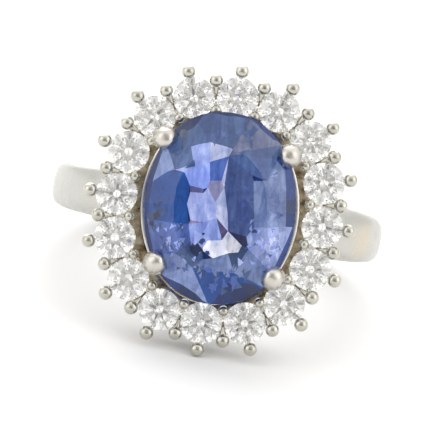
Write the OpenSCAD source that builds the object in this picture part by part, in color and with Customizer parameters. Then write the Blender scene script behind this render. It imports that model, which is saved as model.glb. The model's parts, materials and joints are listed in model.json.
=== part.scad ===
/* [Finger] */
// Diameter of the finger hole
finger_d = 17.8; // [17.6:0.1:18.0]

/* [Shank] */
// Width of the shank at its back
back_w = 2.3; // [2.1:0.1:2.6]
// Width of the shank where its arms meet the head
arm_w = 3.9; // [3.5:0.1:4]
// Thickness of the shank at its back
back_t = 1.8; // [1.6:0.1:2.0]
// Thickness of the arms where they meet the head
arm_t = 2.5; // [2.4:0.1:2.6]
// Angle left open between the two arms, under the head
arm_gap = 60; // [56:1:62]
// Squareness of the shank's section, where 2 is half an ellipse
section_square = 2.7; // [2.2:0.1:3.2]

/* [Centre stone] */
// Length of the centre stone, along the finger
centre_l = 12.4; // [12.2:0.1:12.6]
// Width of the centre stone, across the finger
centre_w = 9.7; // [9.5:0.1:9.8]
// How far the centre stone and its claws sit off the middle, along the finger
centre_off = 0.14; // [0:0.02:0.2]
// Squareness of its outline, where 2 is a true ellipse
centre_square = 2.17; // [2:0.01:2.3]
// Height of its crown above the girdle
crown_h = 1.5; // [1.3:0.1:1.7]
// Depth of its pavilion below the girdle
pavilion_h = 4.2; // [4:0.05:4.3]
// Thickness of its girdle
centre_girdle = 0.3; // [0.2:0.05:0.4]
// Table as a share of the outline
centre_table = 0.62; // [0.55:0.01:0.66]
// Length of the keel line where its last facets meet
keel_l = 1.0; // [0.6:0.1:1.4]
// Turn of the stone in its setting
centre_turn = 6.2; // [5:0.1:7]

/* [Cluster of round stones] */
// Diameter of a round stone
round_d = 2.7; // [2.6:0.05:2.74]
// Centre to centre of the round stones across the head
ring_w = 13.44; // [13.4:0.02:13.6]
// Centre to centre of the round stones along the head
ring_l = 14.72; // [14.6:0.02:14.8]
// Squareness of the oval that their centres follow
ring_square = 2.3; // [2.2:0.01:2.4]
// Turn of the whole cluster on its shank
cluster_turn = 1.2; // [-1:0.1:1.5]
// Table of a round stone as a share of its diameter
round_table = 0.57; // [0.53:0.01:0.6]
// Crown angle of a round stone
round_crown = 34.5; // [33:0.5:36]
// Pavilion angle of a round stone
round_pavilion = 40.8; // [40:0.1:42]
// Turn of each round stone in its setting beyond the one before it
round_turn = 17; // [0:1:45]

/* [Claws] */
// Diameter of the bead on each outer claw
bead_d = 0.9; // [0.86:0.02:0.9]
// Diameter of the wire of an outer claw
wire_d = 0.5; // [0.46:0.02:0.52]
// Diameter of the bead on each inner claw
inner_bead_d = 0.56; // [0.5:0.02:0.6]
// Diameter of the wire of an inner claw
inner_wire_d = 0.4; // [0.36:0.02:0.46]
// Diameter of the wire of the four large claws
claw_d = 1.0; // [0.9:0.05:1.1]
// Diameter of the dome on each large claw
dome_d = 1.3; // [1.2:0.05:1.36]

/* [Hidden] */
ROUND_STONES = 16;
STONE_NAMES = [for (i = [1 : ROUND_STONES]) str("diamond_", i < 10 ? "0" : "", i)];

$fn = 64;
gap = 0.04;
block = 30;
finger_r = finger_d / 2;
round_r = round_d / 2;
round_girdle = 0.06;
facet_over = 0.02;
culet_r = 0.03;
star_share = 0.5;
lower_share = 0.23;

// Heights above the centre of the finger, with the head on top
base_z = finger_r + 0.3;
base_h = 0.8;
cluster_z = 11.15;
gallery_z = 11.5;
rail_h = 0.55;
round_z = 13.0;
centre_z = 13.9;
bead_z = round_z + 0.38;
between_z = round_z + 0.42;
elbow_z = round_z - 0.28;
inner_bead_z = round_z + 0.22;

// Half widths and half lengths of the head's oval rails, inside and outside
base_in = [4.6, 5.3];
base_out = [5.5, 6.2];
gallery_in = [4.95, 6.1];
gallery_out = [6.1, 6.85];
cluster_in = [ring_w / 2 - 0.05, ring_l / 2 - 0.15];
cluster_out = [ring_w / 2 + 0.65, ring_l / 2 + 0.55];

// How far outward from the oval of stone centres each row of beads stands
outer_out = round_r + 0.35;
elbow_out = outer_out - 0.12;
between_out = 1.0;
between_elbow_out = between_out;
between_elbow_z = round_z - 0.65;
between_foot = 0.1;
inner_out = -0.95;

// The bearings under the centre stone's long sides, which end in the large claws
bearing_in = [4.3, 5.5];
bearing_out = [5.06, 6.3];
bearing_z = 13.0;
bearing_h = 0.45;
bearing_end = 4.4;

// Each large claw: its direction and how far it leans in over the stone
LARGE_CLAWS = [[47.5, 0.1], [138.5, 0.1], [230.5, 0.4], [317.5, 0.2]];
// Their stations: distance out and height
CLAW_FOOT = [5.0, base_z + base_h / 2];
CLAW_KNEE = [5.62, round_z];
CLAW_NECK = [5.87, centre_z + 0.42];
CLAW_TIP = [5.45, centre_z + 0.56];
tip_d = 1.06;
seat_scale = 1.012;
seat_reach = 2.2;

// The centre stone's tiers below its girdle: share of the outline, share of the depth, half keel
TIERS = [
  [1.00, 0.00, 0],
  [0.84, 0.29, 0],
  [0.50, 0.69, 0],
  [0.00, 1.00, keel_l / 2]
];

// Superellipses: a point, the outward direction and the reach along it, at a polar angle
function oval_r(angle, half, square) =
  pow(
    pow(abs(cos(angle)) / half[0], square) + pow(abs(sin(angle)) / half[1], square),
    -1 / square
  );
function oval(angle, half, square) = oval_r(angle, half, square) * [cos(angle), sin(angle)];
function slope(x, half, square) = sign(x) * pow(abs(x) / half, square - 1) / half;
function unit(v) = v / norm(v);
function outward(angle, half, square) =
  let (p = oval(angle, half, square))
    unit([slope(p[0], half[0], square), slope(p[1], half[1], square)]);

// Round stones stand at even steps along their oval: 32 half steps, stones on the even ones
ring_half = [ring_w / 2, ring_l / 2];
quarter_steps = 36;
quarter_spots = ROUND_STONES / 2;
function step_angle(i) = 90 * i / quarter_steps;
function step_length(i) =
  norm(oval(step_angle(i + 1), ring_half, ring_square) - oval(step_angle(i), ring_half, ring_square));
ARC = [for (i = 0, s = 0; i <= quarter_steps; s = s + step_length(i), i = i + 1) [s, step_angle(i)]];
quarter_length = ARC[quarter_steps][0];
function quarter_angle(spot) = lookup(quarter_length * spot / quarter_spots, ARC);
function spot_angle(k) =
  let (q = floor(k / quarter_spots), m = k - q * quarter_spots)
    q % 2 == 0 ? 90 * q + quarter_angle(m) : 90 * (q + 1) - quarter_angle(quarter_spots - m);
function turned(p, angle) =
  [p[0] * cos(angle) - p[1] * sin(angle), p[0] * sin(angle) + p[1] * cos(angle)];
function spot(k, out) =
  turned(
    oval(spot_angle(k), ring_half, ring_square) + out * outward(spot_angle(k), ring_half, ring_square),
    cluster_turn
  );
function at(p, z) = [p[0], p[1], z];

// The shank's section at an angle from its back, and its outline
arm_angle = 180 - arm_gap / 2;
section_steps = 41;
section_step = 2 * arm_angle / section_steps;
profile_step = 20;
function toward_head(angle) = (1 - cos(angle)) / 2;
function shank_w(angle) = back_w + (arm_w - back_w) * toward_head(angle);
function shank_t(angle) = back_t + (arm_t - back_t) * toward_head(angle);
function curve(c) = sign(c) * pow(abs(c), 2 / section_square);
function section(angle) =
  let (w = shank_w(angle) / 2, t = shank_t(angle), inside = finger_r - 0.4)
    concat(
      [[inside, -w]],
      [
        for (u = [180 - profile_step : -profile_step : profile_step])
          [finger_r + t * curve(sin(u)), w * curve(cos(u))]
      ],
      [[inside, w]]
    );
function around(p, angle) = [p[0] * sin(angle), p[1], -p[0] * cos(angle)];
SECTIONS = [
  for (i = [0 : section_steps])
    let (a = i * section_step - arm_angle)
      [for (p = section(abs(a))) around(p, a)]
];

// The ring lies on its lowest outer bead and on the edge of its back
LOW_BEAD = at(spot(3 * quarter_spots, outer_out), bead_z);
function laid(p, tilt) =
  [p[0], p[1] * sin(tilt) - p[2] * cos(tilt), p[1] * cos(tilt) + p[2] * sin(tilt)];
BACK = [for (s = SECTIONS) for (p = s) if (p[2] < 0 && p[1] < 0) p];
function back_low(tilt) = min([for (p = BACK) laid(p, tilt)[2]]);
function bead_low(tilt) = laid(LOW_BEAD, tilt)[2] - bead_d / 2;
function find_tilt(lo, hi, n) =
  let (mid = (lo + hi) / 2)
    n == 0 ? mid
    : bead_low(mid) < back_low(mid) ? find_tilt(mid, hi, n - 1)
    : find_tilt(lo, mid, n - 1);
tilt = find_tilt(5, 40, 30);
front_y = min(
  laid(LOW_BEAD, tilt)[1] - bead_d / 2,
  laid([0, centre_off - centre_table * centre_l / 2, centre_z + centre_girdle / 2 + crown_h], tilt)[1]
);
back_y = max([for (p = BACK) laid(p, tilt)[1]]);

// Lays the upright ring on its side, with the head facing -Y and turned up by tilt
module lay()
  translate([0, -(front_y + back_y) / 2, -bead_low(tilt)])
    rotate([90 - tilt, 0, 0])
      children();

// Keeps what lies below a plane through a point, whose outward side faces a direction
module below(point, azimuth, lean)
  translate(point)
    rotate([0, lean, azimuth])
      translate([-block, -block, -2 * block])
        cube(2 * block);

module rod(p, q, d) {
  v = q - p;
  translate(p)
    rotate([0, acos(v[2] / norm(v)), atan2(v[1], v[0])])
      cylinder(h = norm(v), d = d);
}

module ball(p, d) {
  translate(p)
    sphere(d = d);
}

module oval_band(inner, outer, z, h) {
  translate([0, 0, z])
    linear_extrude(height = h)
      difference() {
        scale(outer)
          circle(r = 1);
        scale(inner)
          circle(r = 1);
      }
}

// A round brilliant with its girdle at z = 0, grown all round by a margin for the seats. Its facets
// meet just outside the girdle, and a small culet cuts off the point of its pavilion.
module brilliant(grow = 0) {
  r = round_r + facet_over + grow;
  g = round_girdle / 2;
  crown = (1 - round_table) * r * tan(round_crown);
  star_r = (round_table * cos(22.5) * (1 - star_share) + star_share) * r;
  star_rise = (r - star_r * cos(22.5)) * tan(round_crown);
  lower_fall = (1 - lower_share * cos(22.5)) * r * tan(round_pavilion);
  intersection() {
    cylinder(h = 4 * r, r = round_r + grow, center = true);
    below([0, 0, g + crown], 0, 0);
    below([0, 0, -g - (r - culet_r) * tan(round_pavilion)], 0, 180);
    intersection_for (a = [0 : 45 : 315])
      below([r * cos(a), r * sin(a), g], a, round_crown);
    intersection_for (a = [22.5 : 45 : 337.5])
      below(
        [star_r * cos(a), star_r * sin(a), g + star_rise], a,
        atan((crown - star_rise) / (star_r - round_table * cos(22.5) * r))
      );
    intersection_for (a = [11.25 : 22.5 : 348.75])
      below(
        r * cos(11.25) * [cos(a), sin(a), 0] + [0, 0, g], a,
        atan(star_rise / ((r - star_r) * cos(11.25)))
      );
    intersection_for (a = [0 : 45 : 315])
      below([r * cos(a), r * sin(a), -g], a, 180 - round_pavilion);
    intersection_for (a = [11.25 : 22.5 : 348.75])
      below(
        r * cos(11.25) * [cos(a), sin(a), 0] - [0, 0, g], a,
        180 - atan(lower_fall / ((1 - lower_share) * r * cos(11.25)))
      );
  }
}

// The centre stone's outline at its girdle, and how far a tier reaches in a direction
centre_half = [centre_w / 2, centre_l / 2];
outline_step = 5;
function outline(angle) = oval(angle, centre_half, centre_square);
function facing(angle) = outward(angle, centre_half, centre_square);
function reach(tier, angle) = tier[0] * outline(angle) * facing(angle) + tier[2] * abs(facing(angle)[1]);
function azimuth(v) = atan2(v[1], v[0]);

// A facet through three points of the crown, kept on the side where the stone's middle is
module crown_facet(p, q, r) {
  n = cross(q - p, r - p);
  up = n[2] < 0 ? -n : n;
  below(p, azimuth(up), acos(up[2] / norm(up)));
}

module centre_stone() {
  g = centre_girdle / 2;
  top = g + crown_h;
  intersection() {
    translate([0, 0, -pavilion_h - g])
      linear_extrude(height = pavilion_h + crown_h + 2 * g)
        polygon([for (a = [0 : outline_step : 360 - outline_step]) outline(a)]);
    intersection_for (a = [0 : 45 : 315])
      below(
        at(outline(a), g), azimuth(facing(a)),
        atan(crown_h / ((1 - centre_table) * (outline(a) * facing(a))))
      );
    intersection_for (a = [22.5 : 45 : 337.5], side = [-22.5, 22.5])
      crown_facet(at(centre_table * outline(a), top), at(outline(a), g), at(outline(a + side), g));
    intersection_for (i = [0 : 2], a = [0 : 22.5 : 337.5])
      below(
        at(reach(TIERS[i], a) * facing(a), -g - TIERS[i][1] * pavilion_h), azimuth(facing(a)),
        180 - atan(
          (TIERS[i + 1][1] - TIERS[i][1]) * pavilion_h / (reach(TIERS[i], a) - reach(TIERS[i + 1], a))
        )
      );
  }
}

module set_centre_stone(size = 1) {
  translate([0, centre_off, centre_z])
    rotate([0, 0, centre_turn])
      scale(size)
        centre_stone();
}

module set_round_stone(i, grow = 0) {
  translate(at(spot(2 * i, 0), round_z))
    rotate([0, 0, spot_angle(2 * i) + cluster_turn + i * round_turn])
      brilliant(grow);
}

module shank() {
  rows = len(SECTIONS);
  size = len(SECTIONS[0]);
  difference() {
    polyhedron(
      points = [for (s = SECTIONS) for (p = s) p],
      faces = concat(
        [[for (j = [0 : size - 1]) j]],
        [
          for (i = [0 : rows - 2], j = [0 : size - 1])
            [
              i * size + j, (i + 1) * size + j,
              (i + 1) * size + (j + 1) % size, i * size + (j + 1) % size
            ]
        ],
        [[for (j = [size - 1 : -1 : 0]) (rows - 1) * size + j]]
      )
    );
    rotate([90, 0, 0])
      cylinder(h = 2 * arm_w, d = finger_d, center = true);
  }
}

// A claw at a stone's outer edge: a bead, a short upright and a wire that slants to the base rail
module outer_claw(k) {
  top = at(spot(k, outer_out), bead_z);
  elbow = at(spot(k, elbow_out), elbow_z);
  foot = at(oval(spot_angle(k) + cluster_turn, (base_in + base_out) / 2, 2), base_z + base_h / 2);
  ball(top, bead_d);
  rod(elbow, top, wire_d);
  ball(elbow, wire_d + gap);
  rod(foot, elbow, wire_d);
}

// The two claws between a pair of stones: one on the cluster rail, one inside on the gallery rail
module between_claws(k) {
  outer_top = at(spot(k, between_out), between_z);
  elbow = at(spot(k, between_elbow_out), between_elbow_z);
  inner_top = at(spot(k, inner_out), inner_bead_z);
  ball(outer_top, bead_d);
  rod(elbow, outer_top, wire_d);
  ball(elbow, wire_d + gap);
  rod(at(spot(k, between_foot), cluster_z + rail_h / 2), elbow, wire_d);
  ball(inner_top, inner_bead_d);
  rod(at(spot(k, inner_out), gallery_z + rail_h / 2), inner_top, inner_wire_d);
}

// A large claw of the centre stone, with a dome over the girdle and a seat cut for the stones
module large_claw(angle, lean) {
  toward = [cos(angle), sin(angle)];
  off = [0, centre_off];
  foot = at(CLAW_FOOT[0] * toward, CLAW_FOOT[1]);
  knee = at((CLAW_KNEE[0] - lean / 2) * toward + off, CLAW_KNEE[1]);
  neck = at((CLAW_NECK[0] - lean) * toward + off, CLAW_NECK[1]);
  tip = at((CLAW_TIP[0] - lean) * toward + off, CLAW_TIP[1]);
  difference() {
    union() {
      rod(foot, knee, claw_d);
      ball(knee, claw_d + gap);
      rod(knee, neck, claw_d);
      ball(neck, dome_d);
      ball(tip, tip_d);
    }
    set_centre_stone(seat_scale);
    for (i = [0 : ROUND_STONES - 1])
      if (norm(at(spot(2 * i, 0), CLAW_TIP[1]) - tip) < seat_reach)
        set_round_stone(i, gap);
  }
}

// Two arcs under the centre stone's long sides, cut to fit below its girdle
module bearings() {
  difference() {
    translate([0, centre_off, 0])
      rotate([0, 0, centre_turn])
        intersection() {
          oval_band(bearing_in, bearing_out, bearing_z, bearing_h);
          translate([-block / 2, -bearing_end, 0])
            cube([block, 2 * bearing_end, block]);
        }
    set_centre_stone(seat_scale);
  }
}

module ring_mount() {
  color("ghostwhite")
    lay() {
      shank();
      oval_band(base_in, base_out, base_z, base_h);
      oval_band(gallery_in, gallery_out, gallery_z, rail_h);
      oval_band(cluster_in, cluster_out, cluster_z, rail_h);
      for (k = [0 : 2 : 2 * ROUND_STONES - 2])
        outer_claw(k);
      for (k = [1 : 2 : 2 * ROUND_STONES - 1])
        between_claws(k);
      for (claw = LARGE_CLAWS)
        large_claw(claw[0], claw[1]);
      bearings();
    }
}

module sapphire() {
  color("mediumslateblue")
    lay()
      set_centre_stone();
}

module diamond(i) {
  color("aliceblue")
    lay()
      set_round_stone(i);
}

ring_mount();
sapphire();
for (i = [0 : ROUND_STONES - 1])
  diamond(i);
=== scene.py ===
import json
import math
import random

import bmesh
import bpy
from mathutils import Matrix, Vector


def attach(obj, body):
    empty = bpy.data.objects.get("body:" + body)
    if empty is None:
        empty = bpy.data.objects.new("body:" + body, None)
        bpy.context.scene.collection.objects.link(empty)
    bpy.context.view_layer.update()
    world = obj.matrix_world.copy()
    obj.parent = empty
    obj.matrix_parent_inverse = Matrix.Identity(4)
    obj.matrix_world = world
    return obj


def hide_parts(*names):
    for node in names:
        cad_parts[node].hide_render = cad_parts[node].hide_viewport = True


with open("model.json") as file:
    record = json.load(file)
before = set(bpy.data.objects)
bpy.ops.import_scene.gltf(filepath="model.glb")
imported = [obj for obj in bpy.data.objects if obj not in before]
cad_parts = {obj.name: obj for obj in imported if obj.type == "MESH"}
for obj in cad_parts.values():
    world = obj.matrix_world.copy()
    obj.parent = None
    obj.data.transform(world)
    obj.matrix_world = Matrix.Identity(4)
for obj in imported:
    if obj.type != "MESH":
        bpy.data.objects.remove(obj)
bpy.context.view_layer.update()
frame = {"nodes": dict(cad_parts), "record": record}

MM = 0.001

# The finger hole's place and direction give the ring's upright axes: across the head, along the finger
# and out through the stones. from_upright takes millimetres in them to the frame.
hole = frame["record"]["mounts"][0]
centre = Vector(hole["pos_m"])
finger = Vector(hole["axis"]).normalized()
head = Vector((0, -finger.z, finger.y))
across = finger.cross(head)
from_upright = Matrix((across, finger, head)).transposed().to_4x4() @ Matrix.Scale(MM, 4)
from_upright.translation = centre

# Sizes are in millimetres and in the upright axes, from the middle of the finger hole

# The shank: width, thickness and squareness of its section at the back and at the arms' ends, and how
# far round the finger each arm reaches
FINGER_R = hole["dims"]["r_mm"]
BACK_W, ARM_W = 2.3, 3.9
BACK_T, ARM_T = 1.8, 2.5
BACK_SQUARE, ARM_SQUARE = 2.7, 3.6
ARM_ANGLE = math.radians(150)
# The rounding of the edges of the shank and the rails
EDGE_R = 0.12

# The round stones: the oval through their middles and its turn, their number, and their girdles
RING_HALF = (6.72, 7.36)
RING_SQUARE = 2.3
RING_TURN = math.radians(1.2)
STONES = 16
ROUND_R = 1.35
ROUND_Z = 13.0

# The centre stone: its outline and turn, its girdle's place along the finger and its height, the heights
# of crown and pavilion, and its table as a share of its outline
STONE_HALF = (4.85, 6.2)
STONE_SQUARE = 2.17
STONE_TURN = math.radians(6.2)
STONE_OFF = 0.14
STONE_Z = 13.9
CROWN_H = 1.5
PAVILION_H = 4.2
TABLE = 0.62

# The oval rails: height of the foot, height of the rail, and half sizes inside and outside
BASE_Z, BASE_H = FINGER_R + 0.3, 0.8
BASE_IN, BASE_OUT = (4.6, 5.3), (5.5, 6.2)
GALLERY_Z, CLUSTER_Z, RAIL_H = 11.5, 11.15, 0.55
GALLERY_IN, GALLERY_OUT = (4.95, 6.1), (6.1, 6.85)
CLUSTER_IN, CLUSTER_OUT = (6.67, 7.21), (7.37, 7.91)

# The bearings: half sizes outside, foot, height, rounding, how far each runs either way along the stone,
# and the shares of the stone's outline where its inside slopes from the top down to the foot
BEARING_OUT, BEARING_Z, BEARING_H = (5.12, 6.36), 13.0, 0.62
BEARING_EDGE, BEARING_END = 0.06, 4.4
BEARING_TOP, BEARING_FOOT = 0.985, 0.92

# Radii of the beads and of the wires under them, then the least and most that a bead is of its radius,
# and how far it strays from its place
BEAD_R, WIRE_R = 0.45, 0.25
INNER_BEAD_R, INNER_WIRE_R = 0.35, 0.2
BEAD_SIZES = (0.98, 1.05)
BEAD_STRAY = 0.02
# Latitudes of a bead's stations, from its wire to its tip
BEAD_TURNS = [math.radians(turn) for turn in (-52, -28, 0, 28, 52, 74, 88)]
# How far up the last stretch of wire the bead's neck is, as a share, and the radius of the outer necks
OUTER_NECK, BETWEEN_NECK, INNER_NECK = 0.15, 0.2, 0.6
OUTER_NECK_R = WIRE_R * 0.95
# The least radius of a rod
THINNEST = 0.01

# Places beside the oval of the round stones' middles: distance out and height
OUTER_BEAD, OUTER_ELBOW = (ROUND_R + 0.35, ROUND_Z + 0.38), (ROUND_R + 0.23, ROUND_Z - 0.28)
BETWEEN_BEAD, BETWEEN_ELBOW = (1.0, ROUND_Z + 0.42), (1.0, ROUND_Z - 0.65)
BETWEEN_FOOT = (0.1, CLUSTER_Z + RAIL_H / 2)
INNER_BEAD, INNER_FOOT = (-0.95, ROUND_Z + 0.22), (-0.95, GALLERY_Z + RAIL_H / 2)

# The spurs between two round stones, from outside and from inside: height, then distance out and radius
OUTER_SPUR_Z, OUTER_SPUR = ROUND_Z + 0.12, ((1.0, 0.34), (0.7, 0.25), (0.4, 0.14), (0.1, 0.05))
INNER_SPUR_Z, INNER_SPUR = ROUND_Z + 0.05, ((-0.95, 0.26), (-0.65, 0.14), (-0.35, 0.05))

# Each large claw: its direction in degrees and how far its head leans in over the stone
LARGE_CLAWS = ((47.5, 0.34), (138.5, 0.2), (230.5, 0.5), (317.5, 0.32))
# Up a large claw's leg, and on up its head, which goes by the stone's middle and not by the ring's:
# distance out, height, radius and share of the lean
CLAW_LEG = ((5.0, BASE_Z + BASE_H / 2, 0.5, 0), (5.3, 11.4, 0.5, 0.25))
CLAW_HEAD = (
    (5.62, ROUND_Z, 0.52, 0.5), (5.86, STONE_Z - 0.1, 0.62, 1), (5.96, STONE_Z + 0.35, 0.8, 1),
    (5.85, STONE_Z + 0.7, 0.78, 1), (5.62, STONE_Z + 0.94, 0.62, 1), (5.45, STONE_Z + 1.03, 0.37, 1),
    (5.32, STONE_Z + 1.04, 0.06, 1)
)
# How much larger than the stone the hollow in a large claw is, and how near to each other two corners of
# the stone are one
SEAT_SCALE, WELD = 1.012, 1e-4

random.seed(16)


# Ovals

def ellipse(turn, half):
    """The point of an ellipse at a turn of the circle that it is stretched from."""
    return Vector((half[0] * math.cos(turn), half[1] * math.sin(turn)))


def oval(angle, half, square):
    """The point of a squared oval that lies at an angle from its middle."""
    c, s = math.cos(angle), math.sin(angle)
    r = (abs(c / half[0]) ** square + abs(s / half[1]) ** square) ** (-1 / square)
    return Vector((r * c, r * s))


def outward(angle, half, square):
    """The direction straight out of a squared oval at that point."""
    return Vector([
        math.copysign((abs(p) / h) ** (square - 1) / h, p) for p, h in zip(oval(angle, half, square), half)
    ]).normalized()


def even_angles(count, steps=720):
    """Angles of points at even steps along the oval of the round stones' middles."""
    points = [oval(2 * math.pi * i / steps, RING_HALF, RING_SQUARE) for i in range(steps + 1)]
    length = [0.0]
    for a, b in zip(points, points[1:]):
        length.append(length[-1] + (b - a).length)
    angles, i = [], 0
    for k in range(count):
        want = length[-1] * k / count
        while length[i + 1] < want:
            i += 1
        share = (want - length[i]) / (length[i + 1] - length[i])
        angles.append(2 * math.pi * (i + share) / steps)
    return angles


# The round stones' places are the even ones, and the places between them the odd ones
SPOT_ANGLES = even_angles(2 * STONES)


def on_cluster(p, z):
    """A point given across and along the cluster, which is turned on its shank."""
    return Vector((*(Matrix.Rotation(RING_TURN, 2) @ p), z))


def on_stone(p, z):
    """A point given across and along the centre stone, which is turned and off the ring's middle."""
    turned = Matrix.Rotation(STONE_TURN, 2) @ p
    return Vector((turned.x, turned.y + STONE_OFF, z))


def spot(k, out, z):
    """A point beside the oval of the round stones' middles, at one of its half steps."""
    angle = SPOT_ANGLES[k]
    return on_cluster(oval(angle, RING_HALF, RING_SQUARE) + out * outward(angle, RING_HALF, RING_SQUARE), z)


# Meshes

def add_object(name, data):
    ob = bpy.data.objects.new(name, data)
    bpy.context.scene.collection.objects.link(ob)
    return ob


def piece(name, mesh, material, smooth=True):
    """An object made of a mesh in upright millimetres, laid in the frame and riding on the ring."""
    mesh.transform(from_upright)
    mesh.materials.clear()
    mesh.materials.append(material)
    if smooth:
        mesh.shade_smooth()
    ob = add_object(name, mesh)
    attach(ob, "root")
    return ob


def to_mesh(bm, name):
    bmesh.ops.recalc_face_normals(bm, faces=bm.faces)
    mesh = bpy.data.meshes.new(name)
    bm.to_mesh(mesh)
    bm.free()
    return mesh


def add_grid(bm, rows, joined=False):
    """Faces over rows of points, each row a closed loop. The end rows are joined or else capped."""
    verts = [[bm.verts.new(p) for p in row] for row in rows]
    n = len(verts[0])
    pairs = list(zip(verts, verts[1:]))
    if joined:
        pairs.append((verts[-1], verts[0]))
    for a, b in pairs:
        for j in range(n):
            bm.faces.new((a[j], a[(j + 1) % n], b[(j + 1) % n], b[j]))
    if not joined:
        bm.faces.new(verts[0][::-1])
        bm.faces.new(verts[-1])


def smooth_path(stations, per_span):
    """Catmull-Rom points through stations of (position, radius)."""
    path = []
    last = len(stations) - 1
    for i in range(last):
        four = [stations[max(i - 1, 0)], stations[i], stations[i + 1], stations[min(i + 2, last)]]
        for s in range(per_span):
            t = s / per_span
            shares = (
                (-t + 2 * t ** 2 - t ** 3) / 2, (2 - 5 * t ** 2 + 3 * t ** 3) / 2,
                (t + 4 * t ** 2 - 3 * t ** 3) / 2, (t ** 3 - t ** 2) / 2
            )
            position = sum((p * share for (p, r), share in zip(four, shares)), Vector((0, 0, 0)))
            radius = sum(r * share for (p, r), share in zip(four, shares))
            path.append((position, max(radius, THINNEST)))
    path.append(stations[-1])
    return path


def add_tube(bm, stations, sides=14, per_span=4):
    """A round rod through stations of (position, radius)."""
    path = smooth_path(stations, per_span)
    normal = None
    rows = []
    for i, (p, r) in enumerate(path):
        before = path[max(i - 1, 0)][0]
        after = path[min(i + 1, len(path) - 1)][0]
        along = (after - before).normalized()
        if normal is None:
            normal = along.orthogonal()
        normal = (normal - along * normal.dot(along)).normalized()
        side = along.cross(normal)
        turns = [2 * math.pi * j / sides for j in range(sides)]
        rows.append([p + r * (math.cos(turn) * normal + math.sin(turn) * side) for turn in turns])
    add_grid(bm, rows)


def bead_stations(neck, tip, bead_r, wire_r):
    """The end of a wire, which swells from its neck into a round bead centred on the tip."""
    along = (tip - neck).normalized()
    round_bead = [(tip + along * bead_r * math.sin(turn), bead_r * math.cos(turn)) for turn in BEAD_TURNS]
    return [(neck, wire_r)] + round_bead


# The shank

def between(a, b, share):
    return a + (b - a) * share


def shank_section(angle, points=28):
    """The shank's outline at an angle round the finger from its back, domed outside and flat inside."""
    toward = (1 - math.cos(angle)) / 2
    half_w = between(BACK_W, ARM_W, toward) / 2
    thick = between(BACK_T, ARM_T, toward)
    square = between(BACK_SQUARE, ARM_SQUARE, min(2 * toward, 1))
    row = []
    for i in range(points):
        turn = math.pi * (1 - i / (points - 1))
        c, s = math.cos(turn), math.sin(turn)
        y = half_w * math.copysign(abs(c) ** (2 / square), c)
        row.append((FINGER_R + EDGE_R + (thick - EDGE_R) * abs(s) ** (2 / square), y))
    row += [(FINGER_R, y) for y in (half_w - EDGE_R, half_w / 3, -half_w / 3, -half_w + EDGE_R)]
    return [Vector((r * math.sin(angle), y, -r * math.cos(angle))) for r, y in row]


def build_shank(material, steps=150):
    bm = bmesh.new()
    add_grid(bm, [shank_section(ARM_ANGLE * (2 * i / steps - 1)) for i in range(steps + 1)])
    return piece("shank", to_mesh(bm, "shank"), material)


# Rails

def build_rail(name, material, inner, outer, z, h, steps=120):
    """An oval band with rounded edges."""
    bm = bmesh.new()
    rows = []
    for i in range(steps):
        inside, outside = (ellipse(2 * math.pi * i / steps, half) for half in (inner, outer))
        width = (outside - inside).length
        edges = (
            (width - EDGE_R, h - EDGE_R, 0), (EDGE_R, h - EDGE_R, 90),
            (EDGE_R, EDGE_R, 180), (width - EDGE_R, EDGE_R, 270)
        )
        row = []
        for out, up, start in edges:
            for turn in (0, 45, 90):
                t = math.radians(start + turn)
                p = inside.lerp(outside, (out + EDGE_R * math.cos(t)) / width)
                row.append(Vector((*p, z + up + EDGE_R * math.sin(t))))
        rows.append(row)
    add_grid(bm, rows, joined=True)
    return piece(name, to_mesh(bm, name), material)


def build_bearings(material, steps=40):
    """The two arcs under the stone's long sides, slanted inside to the stone's own slope."""
    bm = bmesh.new()
    reach = math.asin(BEARING_END / BEARING_OUT[1])
    for side in (0, math.pi):
        rows = []
        for i in range(steps + 1):
            out = ellipse(side + reach * (2 * i / steps - 1), BEARING_OUT)
            girdle = oval(math.atan2(out.y, out.x), STONE_HALF, STONE_SQUARE)
            profile = (
                (out, 0), (out, BEARING_H - BEARING_EDGE),
                (out - out.normalized() * BEARING_EDGE, BEARING_H),
                (girdle * BEARING_TOP, BEARING_H), (girdle * BEARING_FOOT, 0)
            )
            rows.append([on_stone(p, BEARING_Z + z) for p, z in profile])
        add_grid(bm, rows)
    return piece("bearings", to_mesh(bm, "bearings"), material)


# Claws

def stray():
    return Vector([random.uniform(-BEAD_STRAY, BEAD_STRAY) for _ in range(3)])


def build_outer_claws(material):
    """The claws at the outer edge of each round stone, which rise from the base rail."""
    bm = bmesh.new()
    base_mid = [(a + b) / 2 for a, b in zip(BASE_IN, BASE_OUT)]
    for k in range(0, 2 * STONES, 2):
        top = spot(k, *OUTER_BEAD) + stray()
        elbow = spot(k, *OUTER_ELBOW)
        foot = on_cluster(oval(SPOT_ANGLES[k], base_mid, 2), BASE_Z + BASE_H / 2)
        r = BEAD_R * random.uniform(*BEAD_SIZES)
        wire = [(foot.lerp(elbow, share), WIRE_R) for share in (0, 0.5, 0.9)]
        add_tube(bm, wire + bead_stations(elbow.lerp(top, OUTER_NECK), top, r, OUTER_NECK_R))
    return piece("outer_claws", to_mesh(bm, "outer_claws"), material)


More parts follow.
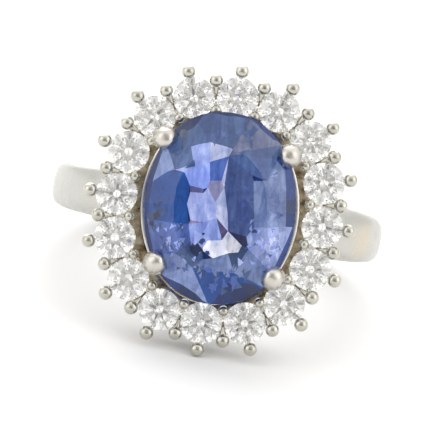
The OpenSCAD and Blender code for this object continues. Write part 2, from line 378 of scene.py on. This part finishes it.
def build_between_claws(material):
    """A claw and a smaller inner one between each two round stones, with a spur on each."""
    bm = bmesh.new()
    for k in range(1, 2 * STONES, 2):
        top = spot(k, *BETWEEN_BEAD) + stray()
        elbow = spot(k, *BETWEEN_ELBOW)
        foot = spot(k, *BETWEEN_FOOT)
        r = BEAD_R * random.uniform(*BEAD_SIZES)
        wire = [(foot.lerp(elbow, share), WIRE_R) for share in (0, 0.8)]
        add_tube(bm, wire + bead_stations(elbow.lerp(top, BETWEEN_NECK), top, r, WIRE_R))
        add_tube(bm, [(spot(k, out, OUTER_SPUR_Z), spur_r) for out, spur_r in OUTER_SPUR])
        add_tube(bm, [(spot(k, out, INNER_SPUR_Z), spur_r) for out, spur_r in INNER_SPUR])
        top = spot(k, *INNER_BEAD) + stray()
        foot = spot(k, *INNER_FOOT)
        bead = bead_stations(foot.lerp(top, INNER_NECK), top, INNER_BEAD_R, INNER_WIRE_R)
        add_tube(bm, [(foot, INNER_WIRE_R)] + bead)
    return piece("between_claws", to_mesh(bm, "between_claws"), material)


def cut_seat(mesh, stone):
    """A claw's mesh, less a stone's shape grown a little, in upright millimetres."""
    bm = bmesh.new()
    bm.from_mesh(stone.data)
    bmesh.ops.transform(bm, matrix=from_upright.inverted(), verts=bm.verts)
    bmesh.ops.remove_doubles(bm, verts=bm.verts, dist=WELD)
    middle = sum((v.co for v in bm.verts), Vector()) / len(bm.verts)
    grow = Matrix.Translation(middle) @ Matrix.Scale(SEAT_SCALE, 4) @ Matrix.Translation(-middle)
    bmesh.ops.transform(bm, matrix=grow, verts=bm.verts)
    cutter = add_object("seat", to_mesh(bm, "seat"))
    claw = add_object("claw", mesh)
    cut = claw.modifiers.new("seat", "BOOLEAN")
    cut.operation = "DIFFERENCE"
    cut.solver = "MANIFOLD"
    cut.object = cutter
    shaped = bpy.data.meshes.new_from_object(claw.evaluated_get(bpy.context.evaluated_depsgraph_get()))
    for ob in (cutter, claw):
        bpy.data.objects.remove(ob)
    return shaped


def build_large_claws(material):
    """The four claws round the centre stone, which end in rounded heads hollowed where they meet it."""
    claws = []
    for i, (direction, lean) in enumerate(LARGE_CLAWS, 1):
        toward = ellipse(math.radians(direction), (1, 1)).to_3d()

        def stations(rows, off):
            return [(toward * (out - share * lean) + Vector((0, off, z)), r) for out, z, r, share in rows]

        bm = bmesh.new()
        add_tube(bm, stations(CLAW_LEG, 0) + stations(CLAW_HEAD, STONE_OFF), sides=28, per_span=6)
        mesh = cut_seat(to_mesh(bm, "large_claw"), frame["nodes"]["sapphire"])
        claws.append(piece(f"large_claw_{i}", mesh, material))
    return claws


# The centre stone's inner facets: a lining with the stone's blue and painted reflections and shade

# How far the lining lies under the crown, and how much above that are its facets, splinters and inclusions
SKIN = 0.3
FACET_LIFT, SPLINTER_LIFT, INCLUSION_LIFT = 0.04, 0.06, 0.08
# Behind the facets lies a backing, a rim that goes down to a lower middle, and behind that a cone. Both
# start at a share of the stone's outline, and the cone goes down to a share of the pavilion's depth.
BACKING_LIFT = -0.6
RIM_SHARE, RIM_STEPS, CONE_SHARE = 0.985, 32, 0.88
# The least and most that the backing's and the cone's parts are shaded
BACKING_SHADES, CONE_SHADES = (0.6, 1.5), (0.7, 1.3)

# Tints of the light that the facets throw back, as linear colours
TINTS = {
    "ink": (0.01, 0.018, 0.07),
    "smoke": (0.03, 0.06, 0.15),
    "ash": (0.08, 0.10, 0.17),
    "dusk": (0.06, 0.115, 0.31),
    "umber": (0.14, 0.16, 0.28),
    "edge": (0.0, 0.02, 0.13),
    "night": (0.03, 0.07, 0.19),
    "depth": (0.0, 0.06, 0.29),
    "navy": (0.05, 0.088, 0.255),
    "mid": (0.063, 0.126, 0.44),
    "violet": (0.065, 0.115, 0.37),
    "crown": (0.045, 0.095, 0.25),
    "slate": (0.145, 0.205, 0.41),
    "steel": (0.21, 0.28, 0.54),
    "lavender": (0.29, 0.365, 0.74),
    "lilac": (0.41, 0.47, 0.81),
    "periwinkle": (0.29, 0.39, 0.88),
    "pale": (0.46, 0.50, 0.72),
    "white": (0.94, 0.93, 1.0),
    "beige": (0.73, 0.71, 0.77),
    "mauve": (0.265, 0.26, 0.43),
    "plum": (0.06, 0.05, 0.15),
    "fig": (0.11, 0.11, 0.25),
    "iris": (0.25, 0.305, 0.56),
    "peach": (0.24, 0.21, 0.37)
}

# Corners where facets meet, in millimetres across and along the stone
CORNERS = {
    "left_table": (-3.0, 2.2), "left_ridge": (-1.8, 2.55), "top_ridge": (-0.9, 2.9), "peak": (0.3, 3.35),
    "right_ridge": (1.9, 2.25), "right_table": (2.8, 1.95), "right_shoulder": (3.3, 3.3),
    "fan_left": (-2.45, 2.1), "fan_low": (-2.05, 1.3), "fan_mid": (-1.15, 1.15), "fan_right": (-0.9, 1.25),
    "step_left": (-0.8, 1.7), "step_right": (-0.05, 1.75), "step_low": (0.15, 1.35),
    "keel_top": (-0.35, 0.35), "keel_low": (-0.2, -0.65),
    "pane_top_left": (-2.0, 0.88), "pane_top": (-1.15, 0.88), "pane_left": (-2.15, 0.1),
    "pane_low_left": (-1.85, -0.92), "pane_low": (-1.0, -1.0), "lower_pane": (-1.95, -1.15),
    "side_top": (0.3, 0.65), "side_mid": (0.5, -0.4), "side_low": (0.6, -1.45),
    "foot": (0.25, -2.05), "foot_left": (-0.65, -2.15), "tip_left": (-1.0, -2.75), "tip": (-0.25, -3.25),
    "tip_right": (0.7, -2.85), "toe": (1.35, -2.75), "toe_right": (1.55, -2.3), "heel": (2.0, -2.5),
    "panel_low": (1.8, -1.7), "panel_right": (2.25, -1.1), "panel_top": (2.0, 1.9),
    "low_right_table": (1.15, -4.0), "low_left_table": (-1.5, -3.85), "low_mid": (-0.85, -3.35),
    "low_left": (-2.0, -3.35), "pane_foot": (-1.75, -2.3),
    "cheek_low": (-2.65, -3.05), "cheek": (-2.55, -1.2),
    "bottom_girdle": (-0.3, -6.1), "left_low_girdle": (-3.4, -4.45), "right_low_girdle": (3.2, -4.85),
    "right_low_table": (2.8, -3.2), "right_claw": (3.5, -3.9), "right_girdle": (4.65, -0.85),
    "right_band": (4.2, -0.87), "right_band_top": (3.9, 2.7), "left_girdle_top": (-4.35, 1.4),
    "left_girdle": (-4.55, -1.0), "left_notch": (-3.4, 2.1), "left_claw": (-3.9, -3.3),
    "crown_left": (-2.1, 3.75), "crown_mid": (-0.9, 4.1), "crown_right": (0.5, 3.75),
    "top_girdle_left": (-1.2, 6.0), "top_girdle_right": (1.5, 5.8), "right_top_girdle": (3.6, 4.3),
    "left_top_girdle": (-3.7, 4.0)
}

# Each facet's tint and the corners round it
FACETS = (
    ("lavender", "crown_left crown_mid top_ridge left_ridge"),
    ("pale", "crown_mid crown_right peak top_ridge"),
    ("crown", "left_top_girdle top_girdle_left crown_mid crown_left left_ridge left_table"),
    ("crown", "top_girdle_left top_girdle_right crown_right crown_mid"),
    ("umber", "top_girdle_right right_top_girdle peak crown_right"),
    ("crown", "right_top_girdle right_shoulder peak"),
    ("dusk", "peak right_shoulder right_table right_ridge"),
    ("steel", "left_girdle_top left_top_girdle left_table left_notch"),
    ("periwinkle", "fan_left top_ridge step_left fan_right fan_mid fan_low"),
    ("lavender", "left_table left_ridge top_ridge fan_left"),
    ("mid", "top_ridge peak step_right step_left"),
    ("mauve", "step_left step_right step_low keel_top fan_right"),
    ("fig", "fan_low fan_mid pane_top pane_top_left"),
    ("lilac", "pane_top_left pane_top fan_right keel_top keel_low pane_low pane_low_left pane_left"),
    ("pale", "keel_top step_low side_top side_mid side_low keel_low"),
    ("plum", "keel_low side_low foot"),
    ("peach", "pane_low_left pane_low lower_pane"),
    ("lavender", "lower_pane pane_low keel_low foot foot_left tip_left pane_foot"),
    ("white", "foot_left foot tip_right tip tip_left"),
    ("beige", "foot side_low toe_right toe tip_right"),
    ("pale", "step_right peak step_low"),
    ("navy", "peak right_ridge panel_top step_low"),
    ("navy", "step_low panel_top panel_right panel_low side_low side_mid side_top"),
    ("ink", "side_low panel_low heel toe_right"),
    ("depth", "left_notch fan_left fan_low pane_left lower_pane cheek left_girdle left_girdle_top"),
    ("violet", "left_girdle cheek lower_pane pane_foot cheek_low left_claw"),
    ("night", "pane_foot tip_left low_mid low_left_table low_left cheek_low"),
    ("slate", "low_mid tip tip_right low_right_table low_left_table"),
    ("smoke", "tip_right toe toe_right heel low_right_table"),
    ("iris", "panel_low panel_right right_band right_girdle right_claw right_low_table heel"),
    ("slate", "panel_top right_table right_shoulder right_band_top right_band panel_right"),
    ("steel", "left_low_girdle low_left_table bottom_girdle"),
    ("depth", "low_left_table low_right_table right_low_girdle bottom_girdle"),
    ("slate", "low_right_table heel right_low_table right_claw right_low_girdle"),
    ("slate", "left_claw cheek_low low_left low_left_table left_low_girdle")
)

# Crystals and clouds inside the stone: tint, across, along, size
INCLUSIONS = (
    ("ink", -1.37, -2.76, 0.45), ("ink", -0.97, -1.73, 0.12), ("smoke", -1.02, -2.22, 0.24),
    ("smoke", -4.04, -0.77, 0.5), ("ink", -3.95, -0.8, 0.3), ("ink", -4.2, -1.3, 0.2),
    ("ash", -2.69, 4.51, 0.35), ("smoke", -3.53, -3.31, 0.3), ("ash", 2.08, -0.5, 0.16),
    ("ash", -2.1, -2.49, 0.14), ("night", 0.59, 2.17, 0.24), ("plum", 3.86, -0.17, 0.09),
    ("smoke", -3.3, 0.4, 0.12), ("night", 2.3, -1.3, 0.2), ("pale", 3.1, -2.3, 0.3),
    ("lilac", 2.6, -2.0, 0.2), ("pale", 3.5, -1.7, 0.16), ("mid", -0.5, -3.9, 0.3),
    ("mid", 1.2, -4.5, 0.35), ("depth", -0.6, -2.9, 0.2)
)
# How many corners an inclusion has, and the least and most share of its size that they stand out
INCLUSION_CORNERS, INCLUSION_REACH = 9, (0.5, 1.1)

# Splinters of light: tints, then the middle and spread across and along the stone, count and size
SPLINTERS = (
    ("lavender iris night violet smoke", (-2.9, -2.5), (0.75, 0.8), 44, 0.18),
    ("smoke mid night slate", (-0.5, -4.0), (1.4, 0.25), 34, 0.2),
    ("pale lilac lavender slate dusk", (2.9, -2.2), (0.7, 0.8), 42, 0.2),
    ("mid crown smoke", (0.9, -4.8), (1.3, 0.5), 18, 0.3),
    ("smoke ink depth", (-3.9, -0.7), (0.35, 0.8), 16, 0.22),
    ("dusk umber crown", (0.6, 4.8), (1.6, 0.35), 16, 0.36),
    ("slate steel dusk", (3.4, 0.6), (0.4, 1.4), 16, 0.3),
    ("navy night violet", (1.5, 0.4), (0.3, 1.0), 14, 0.22)
)
# A splinter's three corners: least and most share of its size, how far they stray round it in radians,
# and how much longer it is along the stone
SPLINTER_REACH, SPLINTER_STRAY, SPLINTER_STRETCH = (0.5, 1.3), 0.6, 1.3
# Splinters keep inside a share of the stone's outline, and this far from the brightest facets' middle
SPLINTER_SHARE = 0.9
BRIGHT_AT, BRIGHT_R = (0.3, -2.6), 1.4


def stone_share(u, v):
    """A point's distance from the stone's middle, as a share of the outline's in that direction."""
    powers = [abs(p / half) ** STONE_SQUARE for p, half in zip((u, v), STONE_HALF)]
    return sum(powers) ** (1 / STONE_SQUARE)


def inner_point(u, v, lift=0.0):
    """A point of the inner facets, which follow the crown a little below the stone's surface."""
    climb = min((1 - stone_share(u, v)) / (1 - TABLE), 1)
    return on_stone(Vector((u, v)), STONE_Z + CROWN_H * climb - SKIN + lift)


def build_painted_facets(material):
    """The lining that carries the stone's blue and the painted reflections and shade seen in it, layer over
    layer.
    """
    bm = bmesh.new()
    tint = bm.loops.layers.float_color.new("tint")

    def facet(points, colour, shade=1):
        face = bm.faces.new([bm.verts.new(p) for p in points])
        for loop in face.loops:
            loop[tint] = (*[c * shade for c in colour], 1)

    rim = [
        oval(2 * math.pi * i / RIM_STEPS, STONE_HALF, STONE_SQUARE) * RIM_SHARE for i in range(RIM_STEPS)
    ]
    middle = inner_point(0, 0, BACKING_LIFT)
    cone_tip = inner_point(0, 0, -CROWN_H - CONE_SHARE * PAVILION_H)
    for a, b in zip(rim, rim[1:] + rim[:1]):
        rim_a, rim_b = inner_point(*a), inner_point(*b)
        low_a, low_b = (inner_point(*(p * TABLE), BACKING_LIFT) for p in (a, b))
        shade = random.uniform(*BACKING_SHADES)
        facet([rim_a, rim_b, low_b, low_a], TINTS["edge"], shade)
        facet([low_a, low_b, middle], TINTS["edge"], shade)
        facet([rim_b, rim_a, cone_tip], TINTS["navy"], random.uniform(*CONE_SHADES))
    for name, corners in FACETS:
        facet([inner_point(*CORNERS[c], FACET_LIFT) for c in corners.split()], TINTS[name])
    for name, u, v, size in INCLUSIONS:
        points = []
        for k in range(INCLUSION_CORNERS):
            angle = 2 * math.pi * k / INCLUSION_CORNERS
            r = size * random.uniform(*INCLUSION_REACH)
            points.append(inner_point(u + r * math.cos(angle), v + r * math.sin(angle), INCLUSION_LIFT))
        facet(points, TINTS[name])
    for names, (u, v), (across_by, along_by), count, size in SPLINTERS:
        for _ in range(count):
            at = Vector((random.gauss(u, across_by), random.gauss(v, along_by)))
            if stone_share(*at) > SPLINTER_SHARE or (at - Vector(BRIGHT_AT)).length < BRIGHT_R:
                continue
            turn = random.uniform(0, math.pi)
            points = []
            for k in range(3):
                angle = turn + 2 * math.pi * k / 3 + random.uniform(-SPLINTER_STRAY, SPLINTER_STRAY)
                r = size * random.uniform(*SPLINTER_REACH)
                corner = at + ellipse(angle, (r, SPLINTER_STRETCH * r))
                points.append(inner_point(*corner, SPLINTER_LIFT))
            facet(points, TINTS[random.choice(names.split())])
    mesh = bpy.data.meshes.new("painted_facets")
    bm.to_mesh(mesh)
    bm.free()
    return piece("painted_facets", mesh, material, smooth=False)


# Shader nodes

def fill(tree, node, inputs):
    """Sets a node's inputs to values, or links them where an output of another node is given."""
    for key, value in inputs.items():
        if isinstance(value, bpy.types.NodeSocket):
            tree.links.new(value, node.inputs[key])
        else:
            node.inputs[key].default_value = value


def add_node(tree, kind, inputs, **settings):
    """A shader node with its settings made first and its inputs filled after, as some depend on them."""
    node = tree.nodes.new("ShaderNode" + kind)
    for name, value in settings.items():
        setattr(node, name, value)
    fill(tree, node, inputs)
    return node


def object_place(tree):
    return add_node(tree, "TexCoord", {}).outputs["Object"]


def dot(tree, vector, direction):
    """How far a vector reaches in a direction."""
    node = add_node(tree, "VectorMath", {0: vector, 1: direction}, operation="DOT_PRODUCT")
    return node.outputs["Value"]


def soft_step(tree, value, start, end, before, after):
    """A value that goes smoothly from before to after as another goes from start to end."""
    inputs = {"Value": value, "From Min": start, "From Max": end, "To Min": before, "To Max": after}
    return add_node(tree, "MapRange", inputs, interpolation_type="SMOOTHSTEP").outputs["Result"]


def mix(tree, a, b, factor, blend="MIX"):
    """Two colours in one, each a colour or another node's output."""
    inputs = {"Factor": factor, "A": a, "B": b}
    return add_node(tree, "Mix", inputs, data_type="RGBA", blend_type=blend).outputs["Result"]


def noise(tree, scale, detail, roughness=0.5, distortion=0.0, place=None):
    """Clouds of values. At the object's own place, a scale of 1000 makes them about a millimetre wide."""
    node = add_node(tree, "TexNoise", {
        "Vector": object_place(tree) if place is None else place,
        "Scale": scale, "Detail": detail, "Roughness": roughness, "Distortion": distortion
    })
    return node.outputs["Fac"]


def cells(tree, scale, place):
    """Cells that each have a random colour."""
    return add_node(tree, "TexVoronoi", {"Vector": place, "Scale": scale}).outputs["Color"]


def ramp(tree, value, stops):
    node = add_node(tree, "ValToRGB", {"Fac": value})
    while len(node.color_ramp.elements) < len(stops):
        node.color_ramp.elements.new(0.5)
    for element, (position, colour) in zip(node.color_ramp.elements, stops):
        element.position = position
        element.color = (*colour, 1)
    return node.outputs["Color"]


# Materials

# The metal's wear and its bumps: the scales of both, the least and most that wear makes of the roughness,
# and the bumps' depth in metres
WEAR_SCALE, BUMP_SCALE = 900, 2600
WEAR_SHARES = (0.7, 1.3)
BUMP_DEPTH = 0.05 * MM
# The cells of the round stones' surface: their scale, and the range that each is tipped in, against a
# normal of 1
FLASH_SCALE, FLASH = 2200, 0.02


def new_material(name):
    material = bpy.data.materials.new(name)
    material.use_nodes = True
    return material, material.node_tree, material.node_tree.nodes["Principled BSDF"]


def white_gold(name, dark, light, rough, grain=180, bumps=0.06):
    """Metal that is clouded between two tones, unevenly polished and finely bumped."""
    material, tree, shader = new_material(name)
    tone = ramp(tree, noise(tree, grain, detail=3), [(0.3, dark), (0.7, light)])
    smooth, worn = ((rough * share,) * 3 for share in WEAR_SHARES)
    wear = ramp(tree, noise(tree, WEAR_SCALE, detail=4, roughness=0.6), [(0.3, smooth), (0.7, worn)])
    bump = add_node(tree, "Bump", {
        "Strength": bumps, "Distance": BUMP_DEPTH, "Height": noise(tree, BUMP_SCALE, detail=3)
    })
    fill(tree, shader, {
        "Metallic": 1.0, "Base Color": tone, "Roughness": wear, "Normal": bump.outputs["Normal"]
    })
    return material


def paint_reflection(material, place, reach, colour):
    """A painted reflection: a soft patch of another colour round a place given in upright millimetres."""
    tree = material.node_tree
    shader = tree.nodes["Principled BSDF"]
    inputs = {0: object_place(tree), 1: from_upright @ Vector(place)}
    away = add_node(tree, "VectorMath", inputs, operation="DISTANCE").outputs["Value"]
    reflection_share = soft_step(tree, away, 0, reach * MM, 1, 0)
    plain = shader.inputs["Base Color"].links[0].from_socket
    fill(tree, shader, {"Base Color": mix(tree, plain, (*colour, 1), reflection_share)})


def stone_place(tree, across_scale, along_scale):
    """Coordinates across and along the centre stone, each with a scale of its own."""
    place = object_place(tree)
    c, s = math.cos(STONE_TURN), math.sin(STONE_TURN)
    node = add_node(tree, "CombineXYZ", {
        "X": dot(tree, place, (across * c + finger * s) * across_scale),
        "Y": dot(tree, place, (finger * c - across * s) * along_scale)
    })
    return node.outputs["Vector"]


def facet_light():
    """The stone's blue, painted reflections and shade: each facet's tint, clouded, streaked and broken into
    cells.
    """
    material, tree, shader = new_material("facet_light")
    colour = add_node(tree, "Attribute", {}, attribute_name="tint").outputs["Color"]
    clouds = noise(tree, 900, detail=6, roughness=0.7, distortion=1.2)
    streaks = noise(tree, 1, detail=3, roughness=0.6, distortion=0.4, place=stone_place(tree, 2400, 420))
    cell = add_node(tree, "SeparateColor", {"Color": cells(tree, 1, stone_place(tree, 1500, 700))})
    for value, stops in (
        (clouds, [(0.3, (0.6, 0.66, 0.78)), (0.5, (0.98,) * 3), (0.7, (1.35, 1.3, 1.18))]),
        (streaks, [(0.35, (0.72, 0.77, 0.86)), (0.65, (1.28, 1.24, 1.14))]),
        (cell.outputs["Red"], [(0.0, (0.76, 0.8, 0.88)), (1.0, (1.26, 1.22, 1.12))])
    ):
        colour = mix(tree, colour, ramp(tree, value, stops), 1.0, "MULTIPLY")
    # The emission is painted light: the lining gives off light of its own
    fill(tree, shader, {
        "Base Color": colour, "Roughness": 0.5, "Emission Color": colour, "Emission Strength": 0.5
    })
    return material


def sapphire_glass():
    """Clear glass, as the blue and its painted reflections are the lining's. The tint dims what its surface
    reflects.
    """
    material, tree, shader = new_material("sapphire")
    fill(tree, shader, {
        "Base Color": (1, 1, 1, 1), "Roughness": 0.0, "IOR": 1.77,
        "Specular Tint": (0.5, 0.52, 0.6, 1), "Transmission Weight": 1.0
    })
    return material


def tipped_normal(tree):
    """The surface's direction, tipped cell by cell for flashes that are smaller than the facets."""
    inputs = {0: cells(tree, FLASH_SCALE, object_place(tree)), 1: (FLASH,) * 3, 2: (-FLASH / 2,) * 3}
    tip = add_node(tree, "VectorMath", inputs, operation="MULTIPLY_ADD").outputs["Vector"]
    normal = add_node(tree, "NewGeometry", {}).outputs["Normal"]
    tipped = add_node(tree, "VectorMath", {0: tip, 1: normal}, operation="ADD").outputs["Vector"]
    return add_node(tree, "VectorMath", {0: tipped}, operation="NORMALIZE").outputs["Vector"]


def diamond_glass():
    """Clear glass with fine flashes, which gives off a little light of its own."""
    material, tree, shader = new_material("diamond")
    fill(tree, shader, {
        "Base Color": (1, 1, 0.985, 1), "Roughness": 0.0, "IOR": 2.42, "Normal": tipped_normal(tree),
        "Transmission Weight": 1.0, "Emission Color": (1, 1, 0.98, 1), "Emission Strength": 0.01
    })
    return material


def floor_paper():
    material, tree, shader = new_material("floor")
    clouds = noise(tree, 6, detail=3)
    fill(tree, shader, {
        "Base Color": ramp(tree, clouds, [(0.3, (0.90,) * 3), (0.7, (0.92,) * 3)]), "Roughness": 0.6
    })
    return material


# Stage, light and camera

# Half the floor's side, in metres
FLOOR_HALF = 3.0

# The tent's own light and colour
TENT = 0.98
TENT_COLOUR = (1.0, 0.992, 0.978)
# What brightens or darkens the tent: direction, cosines of the soft edge's rim and inside, and gain.
# First come the softboxes above, at the left and at the right, then two dark patches round the camera.
WORLD_LIGHTS = (
    ((0.1, 0.35, 1.0), (0.55, 0.85), 0.35),
    ((-1.0, -0.5, 0.5), (0.85, 0.93), 0.76),
    ((1.0, -0.4, 0.6), (0.85, 0.93), 0.8),
    (head, (0.5, 0.85), -0.42),
    (head, (0.97, 0.99), -0.35)
)

# The key light, which faces the origin: its place and width in metres, and its power in watts
KEY_AT, KEY_SIZE, KEY_POWER = Vector((-0.14, 0.43, 0.35)), 0.8, 1.7

# The photo's width in pixels, its scale at the round stones, the cluster's middle in it and its roll
PHOTO_SIZE = 432
MM_PER_PIXEL = 0.0645
CLUSTER_PIXEL = (219.5, 210.5)
PHOTO_ROLL = math.radians(10.5)
# The camera: how far it stands to the left of the head's direction and below it, its distance in metres,
# its sensor's width in millimetres, and the nearest and farthest that it sees
FROM_LEFT = math.radians(0.7)
FROM_BELOW = math.radians(0.4)
CAMERA_AWAY = 0.4
SENSOR = 36
SEES = (0.01, 20)


def build_floor():
    mesh = bpy.data.meshes.new("floor")
    corners = [(x * FLOOR_HALF, y * FLOOR_HALF, 0) for x, y in ((-1, -1), (1, -1), (1, 1), (-1, 1))]
    mesh.from_pydata(corners, [], [(0, 1, 2, 3)])
    mesh.materials.append(floor_paper())
    floor = add_object("floor", mesh)


def build_world():
    """A pale tent with three softboxes, and darker where the camera stands."""
    world = bpy.data.worlds.new("studio")
    bpy.context.scene.world = world
    world.use_nodes = True
    tree = world.node_tree
    seen = add_node(tree, "TexCoord", {}).outputs["Generated"]
    strength = TENT
    for direction, (rim, inside), gain in WORLD_LIGHTS:
        toward = dot(tree, seen, Vector(direction).normalized())
        light = soft_step(tree, toward, rim, inside, 0, gain)
        strength = add_node(tree, "Math", {0: strength, 1: light}, operation="ADD").outputs["Value"]
    fill(tree, tree.nodes["Background"], {"Color": (*TENT_COLOUR, 1), "Strength": strength})


def build_key_light():
    light = bpy.data.lights.new("key", "AREA")
    light.shape = "DISK"
    light.size = KEY_SIZE
    light.energy = KEY_POWER
    ob = add_object("key", light)
    ob.location = KEY_AT
    ob.rotation_euler = (-KEY_AT).to_track_quat("-Z", "Y").to_euler()


def build_camera():
    """Looks down on the head from well away, turned so that the ring has the photo's roll."""
    upright_view = head.to_track_quat("Z", "Y").to_matrix()
    roll = math.asin(finger.dot(upright_view.col[0]))
    aside = Matrix.Rotation(-FROM_LEFT, 3, "Y") @ Matrix.Rotation(FROM_BELOW, 3, "X")
    axes = upright_view @ Matrix.Rotation(PHOTO_ROLL - roll, 3, "Z") @ aside
    right, up, back = axes.col
    across_mm = (CLUSTER_PIXEL[0] - PHOTO_SIZE / 2) * MM_PER_PIXEL
    up_mm = (PHOTO_SIZE / 2 - CLUSTER_PIXEL[1]) * MM_PER_PIXEL
    aim = centre + (head * ROUND_Z - right * across_mm - up * up_mm) * MM
    data = bpy.data.cameras.new("camera")
    data.sensor_width = SENSOR
    data.lens = SENSOR * CAMERA_AWAY / (PHOTO_SIZE * MM_PER_PIXEL * MM)
    data.clip_start, data.clip_end = SEES
    ob = add_object("camera", data)
    place = axes.to_4x4()
    place.translation = aim + back * CAMERA_AWAY
    ob.matrix_world = place
    bpy.context.scene.camera = ob


def set_view():
    """Plain colours, and enough bounces for the light to leave the stones."""
    scene = bpy.context.scene
    scene.view_settings.view_transform = "Standard"
    scene.cycles.max_bounces = 24
    scene.cycles.transmission_bounces = 20
    scene.cycles.glossy_bounces = 8


# The ring

# The metals, each clouded between two tones. The shank's has a painted warm reflection on the right
# shoulder, and the bearings' a painted dark reflection at the left.
satin = white_gold("satin_gold", (0.535, 0.53, 0.495), (0.56, 0.555, 0.525), 0.3, bumps=0.02)
# A painted warm reflection on the shank's right shoulder
paint_reflection(satin, place=(9.6, -0.2, 5.5), reach=2.0, colour=(0.62, 0.56, 0.46))
polished = white_gold("polished_gold", (0.58, 0.54, 0.46), (0.68, 0.65, 0.59), 0.1)
bead_gold = white_gold("bead_gold", (0.47, 0.455, 0.40), (0.62, 0.605, 0.54), 0.2, grain=1300, bumps=0.2)
# The gallery rail's gold: its warm hue is the metal's own, and its dark brown tone is painted shade in the
# recess between the centre stone and the round stones
warm = white_gold("warm_gold_painted_shade", (0.24, 0.17, 0.09), (1.0, 0.88, 0.64), 0.3, grain=2200)
cream = white_gold("cream_gold", (0.70, 0.67, 0.62), (0.80, 0.77, 0.71), 0.26, grain=900)
# A painted dark reflection along the left bearing
paint_reflection(cream, place=(-STONE_HALF[0], 0.4, STONE_Z), reach=3.1, colour=(0.28, 0.29, 0.36))
claw_gold = white_gold("claw_gold", (0.57, 0.545, 0.505), (0.67, 0.64, 0.59), 0.3, grain=900, bumps=0.12)

mount = [
    build_shank(satin), build_bearings(cream),
    build_rail("base_rail", polished, BASE_IN, BASE_OUT, BASE_Z, BASE_H),
    build_rail("gallery_rail", warm, GALLERY_IN, GALLERY_OUT, GALLERY_Z, RAIL_H),
    build_rail("cluster_rail", polished, CLUSTER_IN, CLUSTER_OUT, CLUSTER_Z, RAIL_H),
    build_outer_claws(bead_gold), build_between_claws(bead_gold), *build_large_claws(claw_gold)
]
for ob in mount:
    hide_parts("ring_mount")

build_painted_facets(facet_light())
blue = sapphire_glass()
clear = diamond_glass()
for name, ob in frame["nodes"].items():
    if name != "ring_mount":
        ob.data.materials[0] = blue if name == "sapphire" else clear

build_floor()
build_world()
build_key_light()
build_camera()
set_view()
